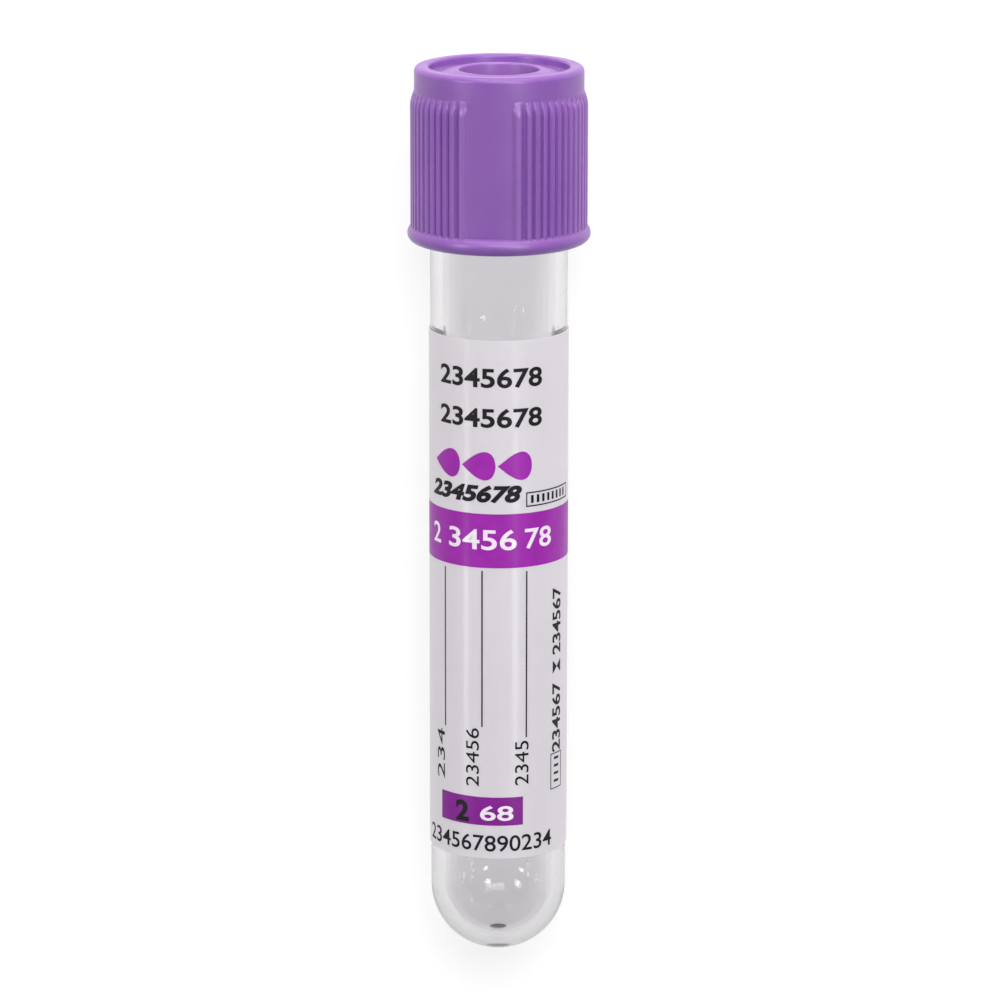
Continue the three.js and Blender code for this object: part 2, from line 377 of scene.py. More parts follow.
# The same plastic at the lip, which the tool leaves finely matt, so it lights up softly.
MATT_LIP = Finish(
    name="matt_lip_pet",
    colour="e4e3e5",
    drift_colour="dbdadc",
    roughness=0.45,
    ior=1.575,
    drift_mm=2.0,
    relief_mm=0.15,
    relief_depth_mm=0.004,
    transmission=0.45,
)

# Film-faced label stock with a semi-gloss varnish: an even pale grey with a paper's cloudy
# look underneath. Its fibres are drawn at 0.25 mm, coarser than real ones, to show at all.
VARNISHED_LABEL = Finish(
    name="varnished_label_stock",
    colour="dbd6e0",
    drift_colour="d9d4dd",
    roughness=0.5,
    ior=1.5,
    drift_mm=9.0,
    gloss_change=0.08,
    relief_mm=0.25,
    relief_depth_mm=0.0012,
    specular=0.35,
    coat=0.23,
    coat_roughness=0.16,
    subsurface=0.6,
    subsurface_mm=0.35,
)


@dataclass(frozen=True)
class InkFinish(Finish):
    """A flexographic ink: a thin, even film with a fine, shallow grain."""

    roughness: float = 0.5
    ior: float = 1.5
    relief_mm: float = 0.12
    relief_depth_mm: float = 0.001
    coat_roughness: float = 0.16


# Flat colours with little gloss: black writing, a strong purple band and drops, a deeper plum
# for the small box, and off-white digits that stand out of both.
class Ink(Enum):
    """Inks of the label's print, all under the label's varnish."""

    BLACK = InkFinish(
        name="black_flexo_ink",
        colour="0b070f",
        drift_colour="150f1a",
        drift_mm=0.6,
        specular=0.2,
    )
    PURPLE = InkFinish(
        name="purple_flexo_ink",
        colour="9c28aa",
        drift_colour="9424a3",
        roughness=0.4,
        drift_mm=1.5,
        specular=0.15,
        coat=0.04,
    )
    PLUM = InkFinish(
        name="plum_flexo_ink",
        colour="821c90",
        drift_colour="7b1989",
        roughness=0.4,
        drift_mm=1.5,
        specular=0.2,
    )
    WHITE = InkFinish(
        name="white_flexo_ink",
        colour="efe6f2",
        drift_colour="e8dcec",
        drift_mm=0.6,
        coat=0.4,
    )


# Polyethylene, injection moulded: waxy and satin, light goes a little way in, so edges and
# rib crests look paler. The tool's spark-eroded texture is drawn at 0.18 mm.
MOULDED_POLYETHYLENE = Finish(
    name="moulded_lavender_polyethylene",
    colour="8759aa",
    drift_colour="8256a7",
    roughness=0.33,
    ior=1.52,
    drift_mm=7.0,
    gloss_change=0.08,
    relief_mm=0.18,
    relief_depth_mm=0.0012,
    specular=0.36,
    subsurface=0.4,
    subsurface_mm=1.0,
    subsurface_tint=(1.0, 0.7, 1.2),
)

# The same plastic painted paler and pinker on the needle hole's wall: painted light, standing in for
# the light that comes through the thin plate there from both sides.
PAINTED_LIGHT_POLYETHYLENE = replace(
    MOULDED_POLYETHYLENE,
    name="thin_lavender_polyethylene",
    colour="976ab6",
    drift_colour="9467b4",
)

# Bromobutyl rubber, compression moulded: matt grey, with the filler's fine mottle.
BUTYL_RUBBER = Finish(
    name="moulded_butyl_rubber",
    colour="77757a",
    drift_colour="6d6b70",
    roughness=0.72,
    ior=1.52,
    drift_mm=0.8,
    relief_mm=0.15,
    relief_depth_mm=0.006,
)

# Sprayed and dried EDTA salt: chalky white crusts of tiny crystals, with a faint glow that is painted light.
DRIED_SALT = SaltFinish(
    name="dried_edta_salt",
    colour="f4f3f1",
    drift_colour="e6e4e6",
    roughness=0.4,
    ior=1.5,
    drift_mm=0.4,
    relief_mm=0.12,
    relief_depth_mm=0.02,
    subsurface=0.3,
    subsurface_mm=0.3,
    # Painted light: the crusts glow a little, as bright as lit crystals seen through the wall.
    glow=0.3,
)

# Opal acrylic of a light table: matt, near white, lit softly from below, with the faint
# orange peel of cast sheet drawn at 12 mm.
LIGHT_TABLE = Finish(
    name="lit_opal_acrylic",
    colour="959595",
    drift_colour="929292",
    roughness=0.9,
    ior=1.49,
    drift_mm=60.0,
    relief_mm=12.0,
    relief_depth_mm=0.05,
    specular=0.1,
    glow=0.77,
)


# ---------------------------------------------------------------------- place and pieces


@dataclass(frozen=True)
class TubeLay:
    """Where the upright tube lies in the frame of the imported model, in metres."""

    axis: Vector
    foot: Vector

    @classmethod
    def from_packed(cls, packed: dict[str, Any], septum_height: float) -> "TubeLay":
        """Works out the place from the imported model.

        Args:
            septum_height: height of the septum's face above the closed end, in millimetres.

        Returns:
            The place, from the closure's axis and the mount on the septum.
        """
        axis = Vector(packed["joints"][0]["axis"]).normalized()
        mounts = {mount["name"]: mount for mount in packed["record"]["mounts"]}
        return cls(axis, Vector(mounts["septum_face"]["pos_m"]) - axis * septum_height * MM)

    @property
    def front(self) -> Vector:
        """Direction in which the front of the label faces."""
        return self.side.cross(self.axis)

    @property
    def side(self) -> Vector:
        """Direction to the label's right, seen from its front."""
        return Vector((1.0, 0.0, 0.0))

    def matrix(self) -> Matrix:
        """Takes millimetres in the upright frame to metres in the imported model's."""
        turn = Matrix((self.side, -self.front, self.axis)).transposed().to_4x4()
        return Matrix.Translation(self.foot) @ turn @ Matrix.Scale(MM, 4)

    def point(self, height: float) -> Vector:
        """Point on the axis at a height in millimetres."""
        return self.foot + self.axis * height * MM


@dataclass(kw_only=True)
class SubAssembly:
    """What the sub-assemblies share: their place and how a piece is handed over."""

    lay: TubeLay
    body: str

    def hand_over(
        self,
        mesh: bmesh.types.BMesh,
        name: str,
        finish: Finish,
        slot: str,
        stands_for: Sequence[str] = (),
        spot_finishes: Sequence[Finish] = (),
    ) -> bpy.types.Object:
        """Makes an upright mesh a finished piece, in its place and on its body.

        Args:
            mesh: the piece, in millimetres in the upright frame; it is freed.
            name: the piece's name.
            finish: its finish.
            slot: the record's material slot that the finish belongs to; not used.
            stands_for: the CAD nodes that it replaces.
            spot_finishes: further finishes, for the faces with material index 1 and up.

        Returns:
            The piece's object.
        """
        for face in mesh.faces:
            face.smooth = True
        for edge in mesh.edges:
            if edge.is_manifold:
                edge.smooth = edge.calc_face_angle() < math.radians(SHARP_EDGE_DEG)
        bmesh.ops.transform(mesh, matrix=self.lay.matrix(), verts=mesh.verts)
        data = to_data(mesh, name)
        for used in (finish, *spot_finishes):
            data.materials.append(used.build())
        piece = add_object(name, data)
        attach(piece, self.body)
        if stands_for:
            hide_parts(*stands_for)
        LOG.info("%s: %d faces", name, len(data.polygons))
        return piece


@dataclass(kw_only=True)
class TubeMoulding(SubAssembly):
    """The clear tube: one moulding with a round closed end and a gate mark under it."""

    body: str = "tube_body"
    length: float = 75.0
    radius: float = 6.4
    wall_at_mouth: float = 1.1
    wall_at_foot: float = 1.35
    floor_thickness: float = 1.5
    mouth_rounding: float = 0.3
    gate_radius: float = 0.95
    gate_depth: float = 0.15
    gate_slope: float = 0.1
    sprue_radius: float = 0.42
    sprue_height: float = 0.12
    sprue_chamfer: float = 0.05
    end_steps: int = 28
    wall_rows: int = 40
    segments: int = 144

    @property
    def bore_at_foot(self) -> float:
        """Bore's radius where the round end begins."""
        return self.radius - self.wall_at_foot

    @property
    def bore_foot_height(self) -> float:
        """Height at which the straight bore begins."""
        return self.floor_thickness + self.bore_at_foot

    def bore_radius(self, height: float) -> float:
        """Bore's radius at a height, with the mould's draft."""
        share = (height - self.bore_foot_height) / (self.length - self.bore_foot_height)
        return self.bore_at_foot + share * (self.wall_at_foot - self.wall_at_mouth)

    def profile(self) -> Profile:
        """Half section of the tube, from the gate up the outside and down the bore."""
        gate_edge = self.gate_radius + self.gate_slope
        gate_angle = -math.degrees(math.acos(gate_edge / self.radius))
        outer_end = arc(0, self.radius, self.radius, gate_angle, 0, self.end_steps)
        gate_top = outer_end[0][1] + self.gate_depth
        sprue_foot = gate_top - self.sprue_height
        lip = self.length - self.mouth_rounding
        bore_at_mouth = self.radius - self.wall_at_mouth
        shares = [row / self.wall_rows for row in range(1, self.wall_rows)]
        wall = [self.radius + (lip - self.radius) * share for share in shares]
        bore = [lip + (self.bore_foot_height - lip) * share for share in shares]
        return [
            (0.0, sprue_foot),
            (self.sprue_radius - self.sprue_chamfer, sprue_foot),
            (self.sprue_radius, sprue_foot + self.sprue_chamfer),
            (self.sprue_radius, gate_top),
            (self.gate_radius, gate_top),
            *outer_end,
            *[(self.radius, height) for height in wall],
            *arc(self.radius - self.mouth_rounding, lip, self.mouth_rounding, 0, 90, 6),
            *arc(bore_at_mouth + self.mouth_rounding, lip, self.mouth_rounding, 90, 180, 6),
            *[(self.bore_radius(height), height) for height in bore],
            *arc(0, self.bore_foot_height, self.bore_at_foot, 0, -90, self.end_steps),
        ]

    def build(self) -> None:
        """Builds the tube and dresses it."""
        mesh = spin_profile(self.profile(), self.segments)
        # Faces of the gate mark take the grey of painted shade; those of the lip take the matt finish.
        for face in mesh.faces:
            middle = face.calc_center_median()
            in_gate = math.hypot(middle.x, middle.y) < self.gate_radius + self.gate_slope
            if in_gate and middle.z < self.floor_thickness / 2:
                face.material_index = 1
            elif middle.z > self.length - self.mouth_rounding:
                face.material_index = 2
        self.hand_over(mesh, "clear_tube", MOULDED_PET, "clear_pet", ["tube"], [BROKEN_GATE, MATT_LIP])


@dataclass(kw_only=True)
class DriedAdditive(SubAssembly):
    """Crusts of dried additive on the wall of the bore, each a cluster of small drops.

    A streak is given by its turn from the front in degrees, its height and its length.
    """

    tube: TubeMoulding
    body: str = "tube_body"
    streaks: tuple[tuple[float, float, float], ...] = (
        (-37.0, 8.3, 1.3),
        (-27.0, 9.2, 1.7),
        (32.0, 9.1, 1.9),
        (42.0, 8.0, 0.9),
        (-28.0, 6.4, 0.6),
        (16.0, 63.6, 0.4),
        (23.0, 63.2, 0.4),
        (-15.0, 62.8, 0.3),
    )
    drops_per_mm: float = 4.0
    drop_width: float = 0.22
    drop_thickness: float = 0.14
    drop_swell: float = 0.35
    drop_seat_share: float = 0.7
    turn_spread_deg: float = 1.8
    wall_gap: float = 0.01
    seed: int = 11

    def drop(self, mesh: bmesh.types.BMesh, turn: float, height: float, size: Sequence[float]) -> None:
        """Adds one drop to the mesh.

        Args:
            mesh: the crusts so far.
            turn: turn from the front, in degrees.
            height: height of the drop's middle.
            size: its width, thickness and length.
        """
        made = bmesh.ops.create_icosphere(mesh, subdivisions=3, radius=0.5)["verts"]
        for vert in made:
            lumps = noise.noise(vert.co * 3.0 + Vector((turn, height, 0.0)))
            vert.co *= 1.0 + self.drop_swell * lumps
        seat = self.tube.bore_radius(height) - self.wall_gap - size[1] * self.drop_seat_share
        place = (
            Matrix.Rotation(math.radians(turn), 4, "Z")
            @ Matrix.Translation((0.0, -seat, height))
            @ Matrix.Diagonal((*size, 1.0))
        )
        bmesh.ops.transform(mesh, matrix=place, verts=made)

    def build(self) -> None:
        """Builds the crusts as one piece and dresses them."""
        dice = random.Random(self.seed)
        mesh = bmesh.new()
        for turn, height, length in self.streaks:
            for _ in range(max(2, round(length * self.drops_per_mm))):
                width = self.drop_width * dice.uniform(0.5, 1.1)
                thickness = self.drop_thickness * dice.uniform(0.6, 1.0)
                size = (width, thickness, width * dice.uniform(1.3, 2.8))
                offset = dice.uniform(-0.5, 0.5) * length
                spread = dice.uniform(-self.turn_spread_deg, self.turn_spread_deg)
                self.drop(mesh, turn + spread, height + offset, size)
        bmesh.ops.recalc_face_normals(mesh, faces=mesh.faces)
        beads = [f"additive_bead_{number}" for number in range(1, len(self.streaks) + 1)]
        self.hand_over(mesh, "dried_additive_crusts", DRIED_SALT, "dried_additive", beads)


# --------------------------------------------------------------------------------- label


@dataclass(frozen=True)
class Spot:
    """A rectangle on the label, in millimetres.

    Left and right are measured round the label from its front, and low and high from the
    tube's closed end.
    """

    left: float
    right: float
    low: float
    high: float

    @property
    def middle(self) -> Vector:
        """The rectangle's middle."""
        return Vector(((self.left + self.right) / 2, (self.low + self.high) / 2, 0.0))

    def row(self, count: int, across: float = 0.0, along: float = 0.0) -> "list[Spot]":
        """Equal rectangles, this one first, each a step across or along from the last."""
        steps = [(number * across, number * along) for number in range(count)]
        return [Spot(self.left + u, self.right + u, self.low + v, self.high + v) for u, v in steps]


@dataclass(frozen=True)
class Mark:
    """One printed mark: what it fills, its ink and the layer that it is printed in."""

    spot: Spot
    ink: Ink = Ink.BLACK
    layer: int = 0

    def draw(self) -> bmesh.types.BMesh:
        """Draws the mark flat: a plain filled rectangle."""
        mesh = bmesh.new()
        bmesh.ops.create_grid(mesh, x_segments=1, y_segments=1, size=0.5)
        self.fit(mesh)
        return mesh

    def fit(self, mesh: bmesh.types.BMesh) -> None:
        """Stretches a flat drawing over the mark's rectangle."""
        xs = [vert.co.x for vert in mesh.verts]
        ys = [vert.co.y for vert in mesh.verts]
        wide = (self.spot.right - self.spot.left) / (max(xs) - min(xs))
        tall = (self.spot.high - self.spot.low) / (max(ys) - min(ys))
        centre = Vector(((max(xs) + min(xs)) / 2, (max(ys) + min(ys)) / 2, 0.0))
        place = (
            Matrix.Translation(self.spot.middle)
            @ Matrix.Diagonal((wide, tall, 1.0, 1.0))
            @ Matrix.Translation(-centre)
        )
        bmesh.ops.transform(mesh, matrix=place, verts=mesh.verts)


@dataclass(frozen=True)
class Digits(Mark):
    """Plain digits that fill the rectangle, read across the label or up along it."""

    text: str = "2"
    weight: float = 0.0
    slant: float = 0.0
    upward: bool = False

    def draw(self) -> bmesh.types.BMesh:
        """Draws the digits flat."""
        curve = bpy.data.curves.new("digits", "FONT")
        curve.body = self.text
        curve.offset = self.weight
        curve.shear = self.slant
        curve.resolution_u = 5
        carrier = add_object("digits", curve)
        bpy.context.view_layer.update()
        flat = bpy.data.meshes.new_from_object(carrier.evaluated_get(bpy.context.evaluated_depsgraph_get()))
        mesh = bmesh.new()
        mesh.from_mesh(flat)
        bpy.data.objects.remove(carrier)
        bpy.data.curves.remove(curve)
        bpy.data.meshes.remove(flat)
        bmesh.ops.remove_doubles(mesh, verts=mesh.verts, dist=MERGE_DISTANCE)
        if self.upward:
            turn_mesh(mesh, 90)
        self.fit(mesh)
        return mesh


@dataclass(frozen=True)
class Box(Mark):
    """An empty box, drawn as a thin line along the rectangle's edge."""

    line: float = 0.12

    def draw(self) -> bmesh.types.BMesh:
        """Draws the line flat."""
        mesh = super().draw()
        bmesh.ops.inset_region(
            mesh, faces=mesh.faces[:], thickness=self.line, use_boundary=True, use_even_offset=True
        )
        inside = [face for face in mesh.faces if all(not vert.is_boundary for vert in face.verts)]
        bmesh.ops.delete(mesh, geom=inside, context="FACES")
        return mesh


@dataclass(frozen=True)
class Drop(Mark):
    """A plain drop lying on its side, with its tip to the left."""

    points: int = 48
    sharpness: float = 1.3

    def draw(self) -> bmesh.types.BMesh:
        """Draws the drop flat."""
        mesh = bmesh.new()
        bmesh.ops.create_circle(mesh, cap_ends=True, segments=self.points, radius=1.0)
        for vert in mesh.verts:
            turn = math.atan2(vert.co.y, vert.co.x)
            vert.co.y *= abs(math.cos(turn / 2)) ** self.sharpness
        self.fit(mesh)
        return mesh


@dataclass(frozen=True)
class Triangle(Mark):
    """A filled triangle with its tip to the left or to the right."""

    tip_right: bool = False

    def draw(self) -> bmesh.types.BMesh:
        """Draws the triangle flat."""
        mesh = bmesh.new()
        bmesh.ops.create_circle(mesh, cap_ends=True, segments=3, radius=1.0)
        turn_mesh(mesh, -90 if self.tip_right else 90)
        self.fit(mesh)
        return mesh


@dataclass(kw_only=True)
class Label(SubAssembly):
    """The wrap-round label and its print. Digits and plain shapes fill the print's places."""

    tube: TubeMoulding
    body: str = "tube_body"
    start: float = 10.75
    height: float = 49.95
    thickness: float = 0.09
    glue_gap: float = 0.03
    clear_strip_deg: float = 150.0
    corner_rounding: float = 1.2
    strip_deg: float = 2.5
    ink_sink: float = 0.006
    ink_height: float = 0.008
    rule_width: float = 0.14

    @property
    def face_radius(self) -> float:
        """Radius of the label's printed face."""
        return self.tube.radius + self.glue_gap + self.thickness

    @property
    def half_width(self) -> float:
        """Distance round the face from the label's front to its edge."""
        return self.face_radius * math.radians(180 - self.clear_strip_deg / 2)

    def wrap(self, mesh: bmesh.types.BMesh, low: float, high: float) -> None:
        """Gives a flat drawing its thickness and bends it round the tube.

        Args:
            mesh: the drawing, with X round the label and Y along the tube.
            low: height of its underside over the label's face.
            high: height of its top over the label's face.
        """
        step = self.face_radius * math.radians(self.strip_deg)
        first = math.floor(min(vert.co.x for vert in mesh.verts) / step) + 1
        last = math.ceil(max(vert.co.x for vert in mesh.verts) / step)
        for number in range(first, last):
            bmesh.ops.bisect_plane(
                mesh,
                geom=mesh.verts[:] + mesh.edges[:] + mesh.faces[:],
                plane_co=(number * step, 0, 0),
                plane_no=(1, 0, 0),
            )
        for vert in mesh.verts:
            vert.co.z = low
        grown = bmesh.ops.extrude_face_region(mesh, geom=mesh.faces[:], use_keep_orig=True)["geom"]
        tops = [item for item in grown if isinstance(item, bmesh.types.BMVert)]
        bmesh.ops.translate(mesh, verts=tops, vec=(0, 0, high - low))
        for vert in mesh.verts:
            angle = vert.co.x / self.face_radius
            radius = self.face_radius + vert.co.z
            vert.co = Vector((radius * math.sin(angle), -radius * math.cos(angle), vert.co.y))
        bmesh.ops.recalc_face_normals(mesh, faces=mesh.faces)

    def build_strip(self) -> None:
        """Builds the label's strip, with its corners rounded."""
        strip = Mark(Spot(-self.half_width, self.half_width, self.start, self.start + self.height))
        mesh = strip.draw()
        rounding = {"offset": self.corner_rounding, "segments": 8, "profile": 0.5, "material": -1}
        bmesh.ops.bevel(mesh, geom=mesh.verts[:], affect="VERTICES", **rounding)
        self.wrap(mesh, -self.thickness, 0.0)
        self.hand_over(mesh, "wrapped_label", VARNISHED_LABEL, "label_film", ["label"])

    def marks(self) -> list[Mark]:
        """The print, from the closure's end down."""
        band_low, band_high = 39.12, 44.29
        edge = self.half_width
        marks: list[Mark] = [
            Digits(Spot(-6.28, 4.29, 56.25, 58.12), text="2345678", weight=0.022),
            Digits(Spot(-6.28, 4.29, 52.48, 54.33), text="2345678", weight=0.022),
            Mark(Spot(-edge, edge, band_low, band_high), Ink.PURPLE),
            Digits(Spot(-7.60, -6.30, 40.84, 42.80), Ink.WHITE, 1, text="2", weight=0.012),
            Digits(Spot(-5.10, 1.70, 40.84, 42.80), Ink.WHITE, 1, text="3456", weight=0.014),
            Digits(Spot(2.50, 5.48, 40.84, 42.80), Ink.WHITE, 1, text="78", weight=0.012),
            Mark(Spot(-6.18, 2.38, 14.03, 16.80), Ink.PLUM),
            Digits(Spot(-4.29, -2.85, 14.23, 16.31), layer=1, text="2", weight=0.04),
            Digits(Spot(-1.74, 1.45, 14.50, 15.98), Ink.WHITE, 1, text="68", weight=0.016),
            Digits(Spot(-8.40, 5.70, 11.45, 13.05), text="234567890234", weight=0.008),
        ]
        marks += self.emblem() + self.writing_lines() + self.side_column()
        return marks

    def emblem(self) -> list[Mark]:
        """A plain row of drops, the heavy slanted digits under it and a small barred box."""
        drops = [Drop(spot, Ink.PURPLE) for spot in Spot(-7.1, -3.8, 47.5, 50.2).row(3, across=3.5)]
        name = Digits(Spot(-7.73, 2.2, 45.35, 47.05), text="2345678", weight=0.045, slant=0.25)
        bars = [Mark(spot) for spot in Spot(3.12, 3.4, 45.2, 45.95).row(8, across=0.62)]
        return [*drops, name, Box(Spot(2.62, 8.5, 44.87, 46.27)), *bars]

    def writing_lines(self) -> list[Mark]:
        """Three lines to write on, each with small digits at its foot."""
        lines = ((-5.65, 23.23, 38.73), (-1.55, 23.68, 38.82), (2.70, 22.59, 38.73))
        feet = (
            (Spot(-6.95, -5.75, 17.94, 22.80), "234"),
            (Spot(-3.16, -1.84, 17.80, 23.50), "23456"),
            (Spot(1.58, 2.95, 17.93, 22.25), "2345"),
        )
        half = self.rule_width / 2
        marks: list[Mark] = [Mark(Spot(u - half, u + half, low, high)) for u, low, high in lines]
        return marks + [Digits(spot, text=text, upward=True) for spot, text in feet]

    def side_column(self) -> list[Mark]:
        """The column at the right: two rows of digits, a small figure and a barred box."""
        bars = [Mark(spot) for spot in Spot(6.1, 6.85, 17.5, 17.75).row(4, along=0.75)]
        return [
            Digits(Spot(5.78, 7.19, 30.03, 36.57), text="234567", weight=0.02, upward=True),
            Digits(Spot(5.78, 7.19, 20.49, 27.29), text="234567", weight=0.02, upward=True),
            Triangle(Spot(5.85, 6.5, 28.2, 29.5), tip_right=True),
            Triangle(Spot(6.5, 7.15, 28.2, 29.5)),
            Box(Spot(5.58, 7.37, 16.87, 20.41), line=0.1),
            *bars,
        ]

    def build_print(self) -> None:
        """Prints the marks: one thin raised piece for each ink and layer."""
        for ink in Ink:
            for layer in (0, 1):
                sheet = bmesh.new()
                for mark in self.marks():
                    if mark.ink is not ink or mark.layer != layer:
                        continue
                    drawn = mark.draw()
                    top = self.ink_height * (layer + 1)
                    self.wrap(drawn, -self.ink_sink, top)
                    carrier = to_data(drawn, "mark")
                    sheet.from_mesh(carrier)
                    bpy.data.meshes.remove(carrier)
                if sheet.faces:
                    self.hand_over(sheet, f"print_{ink.name.lower()}_{layer + 1}", ink.value, "label_film")
                else:
                    sheet.free()

    def build(self) -> None:
        """Builds the label and its print."""
        self.build_strip()
        self.build_print()


# ------------------------------------------------------------------------------- closure


@dataclass(kw_only=True)
class Shield(SubAssembly):
    """The closure's plastic shield: flange, ribbed grip, smooth band and dished top."""

    tube: TubeMoulding
    body: str = "closure"
    height: float = 16.35
    mouth_depth: float = 6.14
    skirt_clearance: float = 0.35
    skirt_wall: float = 1.1
    skirt_lead_in: float = 0.3
    flange_overhang: float = 0.65
    flange_thickness: float = 1.6
    rim_width: float = 1.35
    rim_rounding: float = 0.5
    rim_inner_rounding: float = 0.25
    dish_depth: float = 0.9
    dish_rounding: float = 0.25
    hole_radius: float = 3.7
    hole_edge_depth: float = 0.3
    hole_edge_rounding: float = 0.2
    top_plate: float = 1.7
    panels: int = 3
    panel_turn_deg: float = -6.1
    ridge_from_panel_deg: float = 18.8
    rib_from_ridge_deg: float = 7.3
    rib_pitch_deg: float = 5.65
    ridge_crest: float = 0.3
    ridge_base: float = 1.15
    rib_crest: float = 0.32
    rib_base: float = 0.72
    grip_height: float = 0.35
    grip_top: float = 14.1
    grip_slope: float = 1.4
    grip_margin: float = 0.1
    segments: int = 720
    wall_rows: int = 10
    tip_rows: int = 14

    @property
    def start(self) -> float:
        """Height of the flange's underside above the tube's closed end."""
        return self.tube.length - self.mouth_depth

    @property
    def skirt_radius(self) -> float:
        """Radius of the skirt's bore."""
        return self.tube.radius + self.skirt_clearance

    @property
    def band_radius(self) -> float:
        """Radius of the smooth band and of the grip's valleys."""
        return self.skirt_radius + self.skirt_wall

    @property
    def plate_underside(self) -> float:
        """Height of the top plate's underside over the flange's underside."""
        return self.height - self.dish_depth - self.top_plate

    def profile(self) -> Profile:
        """Half section of the shield without its grip, up the outside and down the inside."""
        band = self.band_radius
        rounding = self.flange_thickness / 2
        flange = band + self.flange_overhang - rounding
        meets = math.degrees(math.acos((band - flange) / rounding))
        wall_foot = rounding + rounding * math.sin(math.radians(meets))
        tip_foot = self.grip_top - self.grip_slope
        wall = [wall_foot + (tip_foot - wall_foot) * row / self.wall_rows for row in range(1, self.wall_rows)]
        tip_height = self.grip_slope + self.grip_margin
        tips = [tip_foot + tip_height * row / self.tip_rows for row in range(self.tip_rows + 1)]
        dish = band - self.rim_width
        inner, hollow = self.rim_inner_rounding, self.dish_rounding
        edge = self.hole_edge_rounding
        hole_edge = self.height - self.hole_edge_depth - edge
        start = (self.skirt_radius + self.skirt_lead_in, 0.0)
        return [
            start,
            *arc(flange, rounding, rounding, -90, 0, 10),
            *arc(flange, rounding, rounding, 0, meets, 10)[1:],
            *[(band, height) for height in wall + tips],
            *arc(band - self.rim_rounding, self.height - self.rim_rounding, self.rim_rounding, 0, 90, 10),
            *arc(dish + inner, self.height - inner, inner, 90, 180, 6),
            *arc(dish - hollow, self.height - self.dish_depth + hollow, hollow, 0, -70, 5),
            *arc(self.hole_radius + edge, hole_edge, edge, 75, 180, 7),
            (self.hole_radius, self.plate_underside),
            (self.skirt_radius, self.plate_underside),
            (self.skirt_radius, self.skirt_lead_in),
            start,
        ]

    def teeth(self) -> list[tuple[float, float, float]]:
        """Turn, crest width and base width of each tooth, from the first panel's middle."""
        sector = 360.0 / self.panels
        first = self.ridge_from_panel_deg + self.rib_from_ridge_deg
        ribs = round((sector - 2 * first) / self.rib_pitch_deg) + 1
        teeth = []
        for panel in range(self.panels):
            middle = panel * sector
            for side in (self.ridge_from_panel_deg, sector - self.ridge_from_panel_deg):
                teeth.append((middle + side, self.ridge_crest, self.ridge_base))
            for number in range(ribs):
                turn = middle + first + number * self.rib_pitch_deg
                teeth.append((turn, self.rib_crest, self.rib_base))
        return teeth

    def tooth_share(self, turn_deg: float) -> float:
        """How much of a tooth's full height stands at a turn from the first panel's middle."""
        best = 0.0
        for centre, crest, base in self.teeth():
            apart = abs((turn_deg - centre + 180.0) % 360.0 - 180.0)
            distance = math.radians(apart) * self.band_radius
            slope = (base / 2 - distance) / ((base - crest) / 2)
            share = min(max(slope, 0.0), 1.0)
            best = max(best, share * share * (3 - 2 * share))
        return best

    def raise_grip(self, mesh: bmesh.types.BMesh) -> None:
        """Pushes the wall out into ridges and ribs, with tips that slope and round off."""
        middle = self.flange_thickness / 2
        shares: dict[int, float] = {}
        for vert in mesh.verts:
            radius = math.hypot(vert.co.x, vert.co.y)
            if vert.co.z < middle or vert.co.z > self.grip_top or radius < self.band_radius - 1e-4:
                continue
            turn = math.degrees(math.atan2(vert.co.x, -vert.co.y)) - self.panel_turn_deg
            step = round(turn / 360.0 * self.segments) % self.segments
            if step not in shares:
                shares[step] = self.tooth_share(step * 360.0 / self.segments)
            rise = min(max((self.grip_top - vert.co.z) / self.grip_slope, 0.0), 1.0)
            lift = self.grip_height * shares[step] * math.sin(rise * math.pi / 2)
            wanted = max(radius, self.band_radius + lift)
            vert.co.x *= wanted / radius
            vert.co.y *= wanted / radius

    def build(self) -> None:
        """Builds the shield and dresses it."""
        mesh = spin_profile(self.profile(), self.segments, self.panel_turn_deg)
        self.raise_grip(mesh)
        # The needle hole's wall takes the paler copy of the plastic: painted light.
        for face in mesh.faces:
            middle = face.calc_center_median()
            in_hole = math.hypot(middle.x, middle.y) < self.hole_radius + self.hole_edge_rounding / 2
            face.material_index = int(in_hole)
        bmesh.ops.translate(mesh, verts=mesh.verts, vec=(0, 0, self.start))
        name, finish = "closure_shield_moulding", MOULDED_POLYETHYLENE
        self.hand_over(mesh, name, finish, "lavender_plastic", ["closure_shield"], [PAINTED_LIGHT_POLYETHYLENE])


